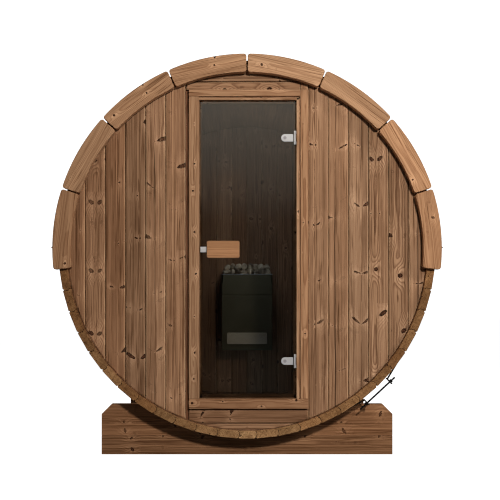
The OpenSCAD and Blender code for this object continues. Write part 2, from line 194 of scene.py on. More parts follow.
def timber_group():
    """Solid wood: growth rings about a pith, whorls of branches that show as knots, and fibres.

    It reads two attributes of the mesh: log, a vertex's place in its own log, with Z along the grain and the
    pith on the axis, and tone, a number from 0 to 1 for each board, dark to pale."""
    group = bpy.data.node_groups.new("Timber", "ShaderNodeTree")

    def offer(name, kind, in_out="INPUT"):
        return group.interface.new_socket(name, in_out=in_out, socket_type="NodeSocket" + kind)

    for name in ("Early", "Late", "Knot"):
        offer(name, "Color")
    usual = {"Ring": 0.004, "Whorl": 0.3, "Branch": 1.0, "Contrast": 0.8, "Streak": 0.3, "Spread": 0.2}
    for name, value in usual.items():
        offer(name, "Float").default_value = value
    offer("Color", "Color", "OUTPUT")
    offer("Height", "Float", "OUTPUT")
    t = Tree(group)
    given = t.new("NodeGroupInput").outputs
    place = t.new("ShaderNodeAttribute", attribute_name="log").outputs["Vector"]
    tone = t.new("ShaderNodeAttribute", attribute_name="tone").outputs["Fac"]

    # The log wanders a little, so that its rings and streaks aren't ruled lines
    for stretch, reach in (((3, 3, 1.6), 0.016), ((14, 14, 9), 0.0035)):
        sway = t.vector("SUBTRACT", t.noise(place, stretch, output="Color"), (0.5, 0.5, 0.5))
        place = t.vector("ADD", place, t.vector("MULTIPLY", sway, (reach, reach, 0)))
    x, y, z = t.fill(t.new("ShaderNodeSeparateXYZ"), [place]).outputs
    radius = t.vector("LENGTH", t.vector("MULTIPLY", place, (1, 1, 0)))
    turn = t.maths("ARCTAN2", y, x)

    # A whorl of up to five branches in each length of the log, rising outwards. The seeds spread tone over
    # many whorls, so that boards of nearly the same tone still have knots of their own
    sector = 2 * pi / 5
    whorl_seed, branch_seed, ring_seed, warmth_seed = 97.0, 31.0, 7.0, 53.0
    whorl = t.maths("FLOOR", t.over(z, given["Whorl"]))
    chance = t.random(t.plus(whorl, t.times(tone, whorl_seed)), "1D")
    jitter = t.fill(t.new("ShaderNodeSeparateColor"), [chance.outputs["Color"]])
    level = t.times(t.plus(t.times_plus(jitter.outputs[0], 0.6, 0.2), whorl), given["Whorl"])
    angle = t.times_plus(jitter.outputs[1], 2 * pi, turn)
    branch = t.maths("FLOOR", t.over(angle, sector))
    off = t.minus(angle, t.times(t.plus(branch, 0.5), sector))
    cell = t.fill(t.new("ShaderNodeCombineXYZ"), (whorl, branch, t.times(tone, branch_seed)))
    size = t.times(t.step(t.random(cell.outputs[0]).outputs["Value"], 0.1, 0.7), given["Branch"])
    slope = t.times_plus(jitter.outputs[2], 0.7, 0.15)
    rise = t.minus(t.minus(z, level), t.times(slope, radius))
    around = t.squared(t.times(radius, off))
    rough = t.noise(place, (170, 170, 110), detail=3.0)
    ragged = t.times(t.minus(rough, 0.5), 0.011)
    away = t.plus(t.maths("SQRT", t.plus(around, t.squared(rise))), ragged)
    taper, widest = 0.26, 0.0095
    girth = t.times_plus(t.maths("MINIMUM", t.times(radius, taper), widest), size, 0.0001)
    reach = t.over(away, girth)
    knot = t.step(reach, 0.8, 1.1, 1.0, 0.0)
    spread = t.plus(around, t.squared(t.times(rise, 0.42)))
    width = t.times_plus(girth, 1.9, 0.0005)
    swirl = t.maths("EXPONENT", t.over(spread, t.times(t.times(width, width), -1.0)))

    # Growth rings bulge round the knots
    bulge = t.times(t.times(girth, 1.6), swirl)
    ripple = t.times(t.noise(place, (60, 60, 3)), 0.0022)
    ring = t.over(t.plus(t.plus(radius, bulge), ripple), given["Ring"])
    ring = t.maths("FRACT", t.plus(ring, t.times(tone, ring_seed)))
    late = t.times(t.step(ring, 0.25, 0.88), t.step(ring, 0.9, 1.0, 1.0, 0.0))
    colour = t.mix(t.times(late, given["Contrast"]), given["Early"], given["Late"])

    # Streaks and fibres along the grain, dark resin lines and short checks
    streak = t.noise(place, (75, 75, 1.3), detail=4.0)
    broad = t.noise(place, (17, 17, 0.8), detail=2.0)
    thread = t.noise(place, (230, 230, 2.6), detail=3.0)
    fibre = t.noise(place, (520, 520, 14), detail=2.0)
    line = t.step(t.noise(place, (85, 85, 1.7), detail=1.0), 0.63, 0.7)
    check = t.step(t.noise(place, (180, 180, 4), detail=1.0), 0.62, 0.7)
    light = t.times_plus(t.minus(t.plus(streak, broad), 1.0), t.times(given["Streak"], 2.6), 1.0)
    light = t.plus(light, t.times(t.minus(thread, 0.5), t.times(given["Streak"], 1.9)))
    light = t.plus(light, t.times(t.minus(fibre, 0.5), 0.4))
    light = t.times(light, t.times_plus(line, t.times(given["Streak"], -0.9), 1.0))
    light = t.times(light, t.times_plus(check, -0.45, 1.0))
    halo = t.minus(swirl, knot, clamp=True)
    light = t.times(light, t.times_plus(halo, 0.5, 1.0))
    board = t.times_plus(t.minus(tone, 0.5), t.times(given["Spread"], 2.0), 1.0)
    light = t.maths("MAXIMUM", t.times(light, board), 0.05)
    colour = t.tinted(colour, t.grey(light, (0.94, 1.08, 1.2)))
    warm = t.random(t.times(tone, warmth_seed), "1D").outputs["Value"]
    warm = t.plus(t.times(warm, 0.7), t.times(broad, 0.4))
    colour = t.mix(warm, t.tinted(colour, (0.97, 1.0, 1.02, 1)), t.tinted(colour, (1.06, 0.95, 0.87, 1)))

    # The pith is a thin dark core; a knot is brown with a dark rim and rings of its own
    pith = t.step(radius, 0.0014, 0.0048, 0.85, 0.0)
    colour = t.mix(pith, colour, given["Knot"])
    rim = t.times(t.step(reach, 0.3, 0.85, 3.0, 0.5), t.step(rough, 0.35, 0.65, 0.45, 1.5))
    colour = t.mix(knot, colour, t.tinted(given["Knot"], t.grey(rim)))
    height = t.plus(t.times(fibre, 0.5), t.times(late, 0.35))
    height = t.minus(height, t.times(t.maths("MAXIMUM", check, pith), 0.5))
    t.fill(t.new("NodeGroupOutput"), (colour, height))
    return group


TIMBER = timber_group()


def shaded(name, metallic=0.0):
    """A new material with its tree and its Principled node."""
    material = bpy.data.materials.new(name)
    material.use_nodes = True
    shader = material.node_tree.nodes["Principled BSDF"]
    shader.inputs["Metallic"].default_value = metallic
    return material, Tree(material.node_tree), shader


def cleared(owner):
    """The node tree of a material or world, with nothing in it."""
    owner.use_nodes = True
    owner.node_tree.nodes.clear()
    return Tree(owner.node_tree)


def surface(t, shader, colour, roughness, height, depth):
    """Sets the shader's colour and roughness, and its bump from a height that is this deep."""
    node = t.give(t.new("ShaderNodeBump"), Strength=1.0, Distance=depth, Height=height)
    t.give(shader, Base_Color=colour, Roughness=roughness, Normal=node.outputs[0])


def wood(name, early, late, knot=(46, 27, 18), rough=0.62, **settings):
    material, t, shader = shaded(name)
    node = t.new("ShaderNodeGroup", node_tree=TIMBER)
    t.give(node, Early=linear(*early), Late=linear(*late), Knot=linear(*knot))
    t.give(node, **{key.capitalize(): value for key, value in settings.items()})
    colour, height = node.outputs
    surface(t, shader, colour, t.times_plus(height, -0.14, rough + 0.05), height, 0.0006)
    t.give(shader, Specular_IOR_Level=0.1)
    return material


def object_place(t):
    return t.new("ShaderNodeTexCoord").outputs["Object"]


def metal(name, colour, rough, metallic, grain=(4, 400, 400)):
    """Steel with a fine brushed grain along X."""
    material, t, shader = shaded(name, metallic)
    lines = t.noise(object_place(t), grain, detail=2.0)
    cloud = t.noise(object_place(t), scale=30.0, detail=3.0)
    tint = t.times_plus(t.minus(lines, 0.5), 0.25, 1.0)
    colour = t.tinted(linear(*colour), t.grey(tint))
    surface(t, shader, colour, t.times_plus(cloud, 0.08, rough), lines, 0.00004)
    return material


def coated(name, colour, worn, rough, scale=900.0, depth=0.00008, spots=0.1):
    """A coat of paint or rubber: fine grain, and cloudy patches of a second, worn colour."""
    material, t, shader = shaded(name)
    grain = t.noise(object_place(t), scale=scale, detail=2.0)
    cloud = t.noise(object_place(t), scale=7.0, detail=5.0)
    share = t.plus(t.step(cloud, 0.45, 0.75), t.times(grain, spots))
    colour = t.mix(share, linear(*colour), linear(*worn))
    surface(t, shader, colour, t.times_plus(cloud, 0.2, rough), grain, depth)
    return material


def smoked_glass(name, tint, rough=0.01, index=1.5):
    """Dark glass: what is behind shows through its tint, and its faces mirror by Fresnel's law."""
    material = bpy.data.materials.new(name)
    t = cleared(material)
    through = t.give(t.new("ShaderNodeBsdfTransparent"), Color=tint)
    mirror = t.give(t.new("ShaderNodeBsdfGlossy"), Roughness=rough)
    fresnel = t.give(t.new("ShaderNodeFresnel"), IOR=index)
    both = t.new("ShaderNodeMixShader")
    t.fill(both, (fresnel.outputs[0], through.outputs[0], mirror.outputs[0]))
    t.give(t.new("ShaderNodeOutputMaterial"), Surface=both.outputs[0])
    return material


def stone(name, pale, dark):
    material, t, shader = shaded(name)
    cloud = t.noise(object_place(t), scale=26.0, detail=6.0)
    grit = t.noise(object_place(t), scale=420.0, detail=3.0)
    tone = t.new("ShaderNodeAttribute", attribute_name="tone").outputs["Fac"]
    share = t.plus(t.step(cloud, 0.35, 0.65, -0.2, 0.2), t.times_plus(grit, 0.5, -0.25))
    share = t.plus(share, tone, clamp=True)
    colour = t.mix(share, linear(*dark), linear(*pale))
    height = t.plus(cloud, t.times(grit, 0.3))
    surface(t, shader, colour, t.times_plus(grit, 0.2, 0.7), height, 0.003)
    return material


WHORLS = {"whorl": 0.29, "ring": 0.0052, "branch": 1.35}  # of the wall boards, faces and bevels
WALL = wood("Wall boards", (165, 128, 98), (111, 78, 57), streak=0.45, **WHORLS)
# A paler copy of the wall wood for the V-groove bevels: painted highlight along the board joints
BEVEL_HIGHLIGHT = wood("Board bevels with painted highlight", (184, 149, 116), (141, 106, 79), streak=0.38, **WHORLS)
LINING = wood("Wall insides", (165, 128, 98), (124, 90, 66), (96, 66, 47), whorl=0.33, ring=0.0052,
              streak=0.26)
STAVE = wood("Stave faces", (152, 114, 82), (112, 77, 53), whorl=0.33, ring=0.0052, branch=1.2, streak=0.4)
STAVE_END = wood("Stave ends", (166, 128, 88), (114, 78, 50), whorl=0.33, ring=0.006, branch=0.4, streak=0.45,
                 spread=0.38)
FASCIA = wood("Trim boards", (179, 140, 107), (141, 102, 74), whorl=0.34, ring=0.005, branch=0.7, streak=0.24,
              contrast=0.65, spread=0.4)
FRAME = wood("Door frame", (178, 140, 108), (142, 104, 76), (40, 24, 16), whorl=0.2, ring=0.0045, branch=0.75,
             streak=0.22)
CRADLE = wood("Cradle boards", (162, 121, 88), (117, 82, 58), whorl=0.2, ring=0.006, branch=0.9, streak=0.42)
# A darker copy of the wall wood for the backing in the recess beside the left jamb: painted shade
BACKING_SHADE = wood("Recess backing with painted shade", (132, 92, 68), (100, 68, 50), branch=0.3)
HANDLE = wood("Handle wood", (168, 124, 89), (138, 95, 65), whorl=2.0, ring=0.004, branch=0.3, streak=0.2)
SATIN = metal("Satin steel", (222, 223, 228), 0.36, 0.55)
DULL = metal("Dull steel", (182, 180, 188), 0.45, 0.55)
ZINC = metal("Threaded steel", (62, 62, 65), 0.34, 0.85, (60, 60, 60))
BLACK_STEEL = coated("Black steel", (16, 16, 16), (30, 30, 30), 0.42)
ROOFING = coated("Roofing membrane", (19, 19, 20), (36, 36, 37), 0.72, scale=520.0, depth=0.0007, spots=0.8)
ENAMEL = coated("Heater enamel", (107, 100, 77), (117, 110, 88), 0.42)
GREY = coated("Heater plate", (246, 230, 200), (236, 218, 188), 0.38)
STONE = stone("Sauna stone", (250, 228, 194), (104, 88, 72))
GLASS = smoked_glass("Smoked glass", (0.56, 0.555, 0.54, 1))

# ---- Mesh building ----


def loft(first, second):
    """A closed solid between two loops with the same number of points."""
    bm = bmesh.new()
    loops = [[bm.verts.new(p) for p in loop] for loop in (first, second)]
    count = len(first)
    for i in range(count):
        j = (i + 1) % count
        bm.faces.new((loops[0][i], loops[0][j], loops[1][j], loops[1][i]))
    bm.faces.new(loops[0][::-1])
    bm.faces.new(loops[1])
    bmesh.ops.recalc_face_normals(bm, faces=bm.faces)
    return bm


def prism(outline, y0, y1):
    """A solid with this outline in X and Z, from y0 to y1."""
    return loft([(x, y0, z) for x, z in outline], [(x, y1, z) for x, z in outline])


def block(low, high):
    (x0, y0, z0), (x1, y1, z1) = low, high
    return prism([(x0, z0), (x1, z0), (x1, z1), (x0, z1)], y0, y1)


def ease(bm, width=EASE, segments=2, sharper=35, only=None):
    """Rounds the edges whose faces meet at more than this angle, in degrees."""
    limit = radians(sharper)
    edges = [e for e in bm.edges if e.is_manifold and e.calc_face_angle(0) > limit]
    if only:
        edges = [e for e in edges if only(e)]
    bmesh.ops.bevel(bm, geom=edges, offset=width, offset_type="OFFSET", segments=segments, profile=0.5,
                    affect="EDGES", clamp_overlap=True)
    return bm


def along_y(edge):
    a, b = (v.co for v in edge.verts)
    return abs(a.y - b.y) > 0.9 * (a - b).length


def across_y(edge):
    return not along_y(edge)


def placed(name, data):
    """A new object in the scene."""
    item = bpy.data.objects.new(name, data)
    scene.collection.objects.link(item)
    return item


class Piece:
    """Solids gathered into one mesh, each with its own place in a log if it is timber."""

    def __init__(self):
        self.points, self.faces, self.slots, self.log, self.tone = [], [], [], [], []

    def add(self, bm, slot=lambda face: 0, grain=None, heart=0.6, tone=None):
        """slot gives each face's material. grain is (along, across, out): unit vectors along the board,
        across it and out of its show face. heart is the chance of a cut beside the pith; tone is paleness."""
        start = len(self.points)
        bm.verts.index_update()
        points = np.array([v.co[:] for v in bm.verts])
        if grain:
            along, across, out = (np.array(v, float) for v in grain)
            rows = np.array([points @ across, points @ out, points @ along]).T
            low, high = rows.min(0), rows.max(0)
            depth = rng.uniform(0.0, 0.012) if rng.random() < heart else rng.uniform(0.025, 0.07)
            side = (low[0] + high[0]) / 2 + rng.uniform(-0.2, 0.2) * (high[0] - low[0])
            rows -= (side, high[1] - depth, low[2] - rng.uniform(0, 40))
            tone = rng.random() if tone is None else tone
        else:
            rows = np.zeros_like(points)
        self.log.extend(rows.tolist())
        self.tone.extend([0.5 if tone is None else tone] * len(points))
        self.points.extend(points.tolist())
        for face in bm.faces:
            self.faces.append([start + v.index for v in face.verts])
            self.slots.append(slot(face))
        bm.free()

    def build(self, name, slot, materials, replaces, body="barrel", smooth=35):
        mesh = bpy.data.meshes.new(name)
        mesh.from_pydata(self.points, [], self.faces)
        for material in materials:
            mesh.materials.append(material)
        mesh.polygons.foreach_set("material_index", self.slots)
        mesh.polygons.foreach_set("use_smooth", [True] * len(self.faces))
        mesh.set_sharp_from_angle(angle=radians(smooth))
        mesh.attributes.new("log", "FLOAT_VECTOR", "POINT").data.foreach_set("vector", np.ravel(self.log))
        mesh.attributes.new("tone", "FLOAT", "POINT").data.foreach_set("value", self.tone)
        mesh.update()
        piece = placed(name, mesh)
        flat = piece.modifiers.new("Flat faces stay flat", "WEIGHTED_NORMAL")
        flat.keep_sharp = True
        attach(piece, body)
        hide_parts(*replaces)


UP, RIGHT, FRONT, BACK = (0, 0, 1), (1, 0, 0), (0, -1, 0), (0, 1, 0)
UPRIGHT = (UP, RIGHT, FRONT)  # grain of an upright board, and of one that lies across, both facing the front
LEVEL = (RIGHT, UP, FRONT)


def single(name, bm, slot, material, node, grain=None, heart=0.6, body="barrel"):
    """A piece of one solid."""
    piece = Piece()
    piece.add(bm, grain=grain, heart=heart)
    piece.build(name, slot, [material], [node], body)


def spoke(r, a):
    """A point in X and Z at this radius and angle from straight down, towards +X."""
    return Vector((r * sin(a), barrel_z - r * cos(a)))


# ---- Staves ----


def stave_outline(a0, a1):
    """A stave's end: flat outside and inside, a cove at a0, a bead at a1, a V-notch at each outer arris."""
    outer = [spoke(BARREL_R, a) for a in (a0, a1)]
    inner = [spoke(BARREL_R - STAVE_T / cos((a1 - a0) / 2), a) for a in (a0, a1)]
    tangent = (outer[1] - outer[0]).normalized()
    steps = 8

    def side(end, gap):
        joint = inner[end] - outer[end]
        down, length = joint.normalized(), joint.length
        points = []
        for k in range(steps + 1):
            share = k / steps
            swell = BEAD * sqrt(max(0.0, 1 - (2 * share - 1) ** 2))
            depth = NOTCH + (length - 2 * NOTCH) * share
            points.append(outer[end] + down * depth + tangent * (swell + gap))
        return points

    return [
        outer[0] + tangent * NOTCH,
        outer[1] - tangent * NOTCH,
        *side(1, -STAVE_JOINT / 2),
        inner[1] - tangent * INNER_NOTCH,
        inner[0] + tangent * INNER_NOTCH,
        *side(0, STAVE_JOINT / 2)[::-1],
    ]


def add_stave(piece, a0, a1):
    """One stave, paler the nearer it lies to the bottom."""
    middle_a = (a0 + a1) / 2
    angle = abs(middle_a + pi) % (2 * pi) - pi
    near_bottom = max(0.0, 1 - abs(angle) / radians(45))
    middle = spoke(1, middle_a) - Vector((0, barrel_z))
    out = (middle.x, 0, middle.y)
    across = (-middle.y, 0, middle.x)
    bm = prism(stave_outline(a0, a1), -END_Y, END_Y)
    ease(bm, 0.0018, 2, 60, across_y)
    tone = 0.5 * rng.random() + 0.5 * near_bottom
    piece.add(bm, lambda face: int(abs(face.normal.y) > 0.7), (BACK, across, out), tone=tone)


def make_staves():
    def angles(i):
        return closing_a / 2 + i * stave_a, closing_a / 2 + (i + 1) * stave_a

    half = STAVES_A_NODE // 2
    bottom = Piece()
    add_stave(bottom, -closing_a / 2, closing_a / 2)
    for i in (*range(half), *range(STAVE_COUNT - half, STAVE_COUNT)):
        add_stave(bottom, *angles(i))
    bottom.build("bottom_staves", "stave_wood", [STAVE, STAVE_END], ["staves_bottom"])
    for k in range(1, STAVE_NODES + 1):
        group = Piece()
        for i in range(STAVES_A_NODE * k - half, STAVES_A_NODE * k + half):
            add_stave(group, *angles(i))
        group.build(f"stave_boards_{k:02d}", "stave_wood", [STAVE, STAVE_END], [f"staves_{k:02d}"])


# ---- End walls ----

WALL_R = inner_flat - 2 * FIT


def round_outline(x0, x1, z0, z1):
    """A rectangle clipped by the barrel's inside."""
    nearest = max(z0 - barrel_z, barrel_z - z1, 0)  # of its levels, the one nearest to the axis
    edge = sqrt(WALL_R**2 - nearest**2) - 4 * FIT
    x0, x1 = max(x0, -edge), min(x1, edge)
    a0, a1 = acos(x0 / WALL_R), acos(x1 / WALL_R)
    steps = max(2, ceil(abs(a1 - a0) / radians(2.5)))
    columns = [x0, *(WALL_R * cos(a0 + (a1 - a0) * k / steps) for k in range(1, steps)), x1]
    top = [Vector((x, min(z1, barrel_z + sqrt(WALL_R**2 - x * x)))) for x in columns]
    low = [Vector((x, max(z0, barrel_z - sqrt(WALL_R**2 - x * x)))) for x in columns]
    loop = top + low[::-1]
    corners = []
    for before, here, after in zip([loop[-1], *loop], loop, [*loop[1:], loop[0]]):
        if abs((here - before).normalized().cross((after - here).normalized())) > 1e-5:
            corners.append(here)
    return corners


def add_board(piece, x0, x1, z0, z1, y0, y1, upright=True, front=True, sharp_z=inf):
    """One wall board between joint lines, with a V-groove's bevel round each face, up to the level sharp_z.

    Its slots: 0 outer face, 1 bevels, painted paler than the face as a highlight, 2 inner face."""
    gap_x, gap_z = (OPEN_JOINT / 2, 0) if upright else (0, OPEN_JOINT / 2)
    bm = prism(round_outline(x0 + gap_x, x1 - gap_x, z0 + gap_z, z1 - gap_z), y0, y1)
    ease(bm, V_GROOVE, 1, 60, lambda edge: across_y(edge) and min(v.co.z for v in edge.verts) < sharp_z)
    out = FRONT if front else BACK

    def slot(face):
        if face.normal.dot(Vector(out)) < -0.9:
            return 2
        return int(0.5 < abs(face.normal.y) < 0.9)

    piece.add(bm, slot, (UP, RIGHT, out) if upright else (RIGHT, UP, out))


def add_tongue(piece, x, y0, y1):
    """The tongue that closes the joint at x."""
    middle = (y0 + y1) / 2
    half = 0.004
    height = sqrt(WALL_R**2 - x * x) - half
    bm = block((x - half, middle - half, barrel_z - height), (x + half, middle + half, barrel_z + height))
    piece.add(bm, grain=UPRIGHT)


def make_walls():
    def finish(piece, name, node):
        piece.build(name, "wall_wood", [WALL, BEVEL_HIGHLIGHT, LINING], [node])

    left_edge, right_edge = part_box("front_wall_left")[1].x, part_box("front_wall_right")[0].x
    top = 2 * barrel_z  # above the barrel: round_outline cuts each board to the round
    for side, start, node in ((-1, left_edge, "front_wall_left"), (1, right_edge, "front_wall_right")):
        piece = Piece()
        for k in range(SIDE_BOARDS):
            near, far = start + side * k * BOARD_W, start + side * (k + 1) * BOARD_W
            if k == SIDE_BOARDS - 1:
                far = side * 2 * BARREL_R
            add_board(piece, *sorted((near, far)), 0, top, WALL_Y0, WALL_Y1)
            if k:
                add_tongue(piece, near, WALL_Y0, WALL_Y1)
        finish(piece, node.replace("wall", "boards"), node)

    # Two boards across over the door frame, and an upright post that stands proud beside them
    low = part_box("front_wall_header")[0]
    joint = low.z + 0.045
    post_x = right_edge - 0.042
    post_proud, frame_gap = 0.008, 0.004
    piece = Piece()
    for z0, z1 in ((low.z, joint), (joint, top)):
        add_board(piece, low.x + frame_gap, post_x, z0, z1, WALL_Y0, WALL_Y1, upright=False)
    add_board(piece, post_x, right_edge, low.z, top, WALL_Y0 - post_proud, WALL_Y1)
    finish(piece, "front_boards_header", "front_wall_header")

    # Two boards across under the threshold, with a backing behind the shadow gap
    low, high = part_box("front_wall_sill")
    joint, edge = high.z - 0.078, high.z - SILL_GAP
    piece = Piece()
    for z0, z1 in ((0, joint), (joint, edge)):
        add_board(piece, low.x, high.x, z0, z1, WALL_Y0, WALL_Y1, upright=False, sharp_z=edge - 0.003)
    backing = block((low.x, (WALL_Y0 + WALL_Y1) / 2, edge - 0.004), (high.x, WALL_Y1 - 0.001, high.z))
    piece.add(backing, grain=LEVEL)
    finish(piece, "front_boards_sill", "front_wall_sill")

    piece = Piece()
    y0, y1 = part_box("rear_wall")[0].y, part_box("rear_wall")[1].y
    for k in range(-REAR_BOARDS, REAR_BOARDS):
        add_board(piece, k * BOARD_W, (k + 1) * BOARD_W, 0, top, y0, y1, front=False)
        if k > -REAR_BOARDS:
            add_tongue(piece, k * BOARD_W, y0, y1)
    finish(piece, "rear_boards", "rear_wall")


# ---- Trim boards on the ends ----


def fascia_outline(a0, a1, outer, centre_z):
    """A curved board between two angles from the top, with a gap left at each end."""
    inner = outer - FASCIA_W
    points = []
    for r, ends in ((outer, (a0, a1)), (inner, (a1, a0))):
        trim = copysign(FASCIA_GAP / 2 / r, ends[1] - ends[0])
        first, last = ends[0] + trim, ends[1] - trim
        steps = 12
        for k in range(steps + 1):
            a = first + (last - first) * k / steps
            points.append((r * sin(a), centre_z + r * cos(a)))
    return points


def make_fascia():
    centre_z = barrel_z + FASCIA_RISE
    for end in ("front", "rear"):
        for side, name in ((-1, "left"), (1, "right")):
            node = f"fascia_{end}_{name}"
            low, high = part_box(node)
            outer = high.z - centre_z
            piece = Piece()
            # Each board's tone holds painted light and shade: paler on the right side, darker on the lowest
            # boards
            for k, tone in enumerate(FASCIA_LIT_TONES[side]):
                a0 = side * radians(k * FASCIA_STEP)
                last = k == len(FASCIA_LIT_TONES[side]) - 1
                a1 = side * radians(FASCIA_END if last else (k + 1) * FASCIA_STEP)
                bm = prism(fascia_outline(a0, a1, outer, centre_z), low.y, high.y)
                ease(bm, FASCIA_CORNER, 5, 60, along_y)
                ease(bm, 0.004, 3, 60, across_y)
                middle = (a0 + a1) / 2
                along = (cos(middle), 0, -sin(middle))
                across = (sin(middle), 0, cos(middle))
                out = FRONT if end == "front" else BACK
                piece.add(bm, grain=(along, across, out), heart=0.1, tone=tone)
            piece.build(f"trim_{end}_{name}", "fascia_wood", [FASCIA], [node])


# ---- Door frame ----


def make_door_frame():
    left_low, left_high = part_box("jamb_left")
    right_low, right_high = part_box("jamb_right")
    head_low, head_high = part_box("door_head")
    sill_low, sill_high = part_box("door_threshold")
    front, back = left_low.y, left_high.y
    open_x0, open_x1 = head_low.x, head_high.x
    open_z0 = right_low.z
    stop_w = left_high.x - open_x0
    open_z1 = head_low.z + stop_w
    stop_y = back - 0.015
    gap = JOINT / 2
    groove_d = 0.02  # of the groove that parts a casing from its strip
    strip_h, head_z = 0.011, open_z1 + 0.019  # the strip over the opening, and the head over its groove
    strip_x0, strip_y = open_x0 - 0.013, front + 0.001
    casing_x = right_high.x - 0.042
    strip_x = casing_x - 0.008
    face_x0 = sill_low.x
    lap = 0.002  # one board laps into the next where no joint shows

    def timber(name, node, boards, tone=0.6):
        """A board is its two corners and whether its grain is upright, and may add its own tone and slot."""
        piece = Piece()
        for low, high, upright, *own in boards:
            shade, slot = own or (tone + rng.uniform(-0.08, 0.08), 0)
            piece.add(ease(block(low, high)), lambda face: slot, UPRIGHT if upright else LEVEL, 0, shade)
        piece.build(name, "frame_wood", [FRAME, BACKING_SHADE], [node])

    timber("frame_left", "jamb_left", [
        ((face_x0, front, open_z0 + gap), (open_x0, back, head_z - gap), True),
        ((open_x0 - lap, stop_y, open_z0), (open_x0 + stop_w, back, open_z1), True),
        # The backing in the recess beside the jamb, in slot 1: painted shade
        ((left_low.x, back - 0.017, left_low.z), (face_x0, back, left_high.z), True, 0.5, 1),
    ], tone=0.35)
    timber("frame_right", "jamb_right", [
        ((casing_x, front, open_z0 + gap), (right_high.x, back, right_high.z), True),
        ((open_x1, strip_y, open_z0 + gap), (strip_x, back, open_z1 + strip_h), True, 0.9, 0),
        ((strip_x - lap / 2, front + groove_d, open_z0), (casing_x + lap / 2, back, right_high.z), True),
        ((open_x1 - stop_w, stop_y, open_z0), (open_x1 + lap, back, open_z1), True),
    ])
    timber("frame_head", "door_head", [
        ((face_x0, front, head_z), (casing_x - gap, back, head_high.z), False),
        ((strip_x0, strip_y, open_z1), (open_x1 + 0.013, back, open_z1 + strip_h), False),
        ((strip_x0, front + groove_d, open_z1 + 0.010), (open_x1 + 0.02, back, open_z1 + 0.020), False),
        ((open_x0, stop_y, open_z1 - stop_w), (open_x1, back, open_z1 + lap), False),
    ])
    timber("frame_threshold", "door_threshold", [
        (sill_low, (sill_high.x, back, open_z0), False),
        ((open_x0, stop_y, open_z0 - lap), (open_x1, back, sill_high.z), False),
    ], tone=-0.1)


# ---- Door ----


def rounded_plate(x0, x1, z_mid, height, y0, y1, steps=16):
    """A plate whose low-X end is a half circle."""
    r = height / 2
    turns = [pi * k / steps for k in range(steps + 1)]
    end = [(x0 + r - r * sin(a), z_mid + r * cos(a)) for a in turns]
    return ease(prism([(x1, z_mid - r), (x1, z_mid + r), *end], y0, y1), 0.0008, 2, 40)


def cylinder(centre, r, length, axis="z", sides=32, bevel=0.0006):
    """A round bar centred here, its ends eased."""
    turns = [2 * pi * k / sides for k in range(sides)]
    order = {"x": (2, 0, 1), "y": (0, 2, 1), "z": (0, 1, 2)}[axis]
    centre = Vector(centre)
    loops = []
    for w in (-length / 2, length / 2):
        ring = [(r * cos(a), r * sin(a), w) for a in turns]
        loops.append([centre + Vector([point[i] for i in order]) for point in ring])
    return ease(loft(*loops), bevel, 2, 60)


def make_hinges(glass_low, glass_high):
    """Two clamps on the glass, each turning on a knuckle between two fixed ones."""
    low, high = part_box("hinge_clamps")
    pins_low, pins_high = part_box("hinge_pins")
    joint = next(j for j in frame["joints"] if j["name"] == "door_hinge")
    pin_x, pin_y = joint["pos_m"][:2]
    clamp_h, hinge_h, plate_t, film = 0.04, 0.072, 0.005, 0.0001
    knuckle_r, leaf_t, split = 0.006, 0.004, 0.0005
    plate_end, cover_end, cover_in, cover_t = pin_x - 0.009, pin_x - 0.014, 0.005, 0.001
    cap_r, screw_r = 0.0085, 0.0042
    middle_z = (glass_low.z + glass_high.z) / 2
    spread = (pins_high.z - pins_low.z - hinge_h) / 2
    plate_y = glass_low.y - plate_t
    clamps, pins = Piece(), Piece()
    for s in (-1, 1):
        z = middle_z + s * spread
        clamps.add(rounded_plate(low.x, plate_end, z, clamp_h, plate_y, glass_low.y - film))
        clamps.add(rounded_plate(low.x, glass_high.x, z, clamp_h, glass_high.y + film, high.y))
        cover_h = clamp_h - 2 * cover_in
        clamps.add(rounded_plate(low.x + cover_in, cover_end, z, cover_h, plate_y - cover_t, plate_y))
        cap = cylinder((low.x + clamp_h / 2, plate_y - 0.0014, z), cap_r, 0.0012, "y")
        clamps.add(cap, lambda face: 1)
        clamps.add(cylinder((pin_x, pin_y, z), knuckle_r, clamp_h))
        for x in (low.x + 0.022, low.x + 0.044):
            clamps.add(cylinder((x, high.y, z), screw_r, 0.0016, "y"))
        for t in (-1, 1):
            end_h = (hinge_h - clamp_h) / 2 - split
            end_z = z + t * (hinge_h - end_h) / 2
            pins.add(cylinder((pin_x, pin_y, end_z), knuckle_r, end_h))
            pins.add(ease(block((pin_x, pin_y - leaf_t / 2, end_z - end_h / 2),
                                (pins_high.x, pin_y + leaf_t / 2, end_z + end_h / 2)), 0.0005, 1))
            pins.add(cylinder((pin_x, pin_y, z + t * (hinge_h / 2 + 0.0006)), screw_r, 0.0016))
    clamps.build("glass_clamps", "satin_steel", [SATIN, DULL], ["hinge_clamps"], "door")
    pins.build("hinge_knuckles", "satin_steel", [SATIN], ["hinge_pins"])


def make_door():
    low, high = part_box("door_glass")
    single("door_pane", ease(block(low, high), 0.0009, 2), "smoked_glass", GLASS, "door_glass", body="door")
    make_hinges(low, high)
    for node, name in (("door_handle_outer", "handle_outer"), ("door_handle_inner", "handle_inner")):
        bm = ease(ease(block(*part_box(node)), 0.009, 4, 60, along_y), 0.003, 3, 60)
        single(name, bm, "handle_wood", HANDLE, node, LEVEL, body="door")
    bm = ease(block(*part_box("latch_plate")), 0.001, 2)
    single("latch", bm, "satin_steel", SATIN, "latch_plate", body="door")


# ---- Cradles ----


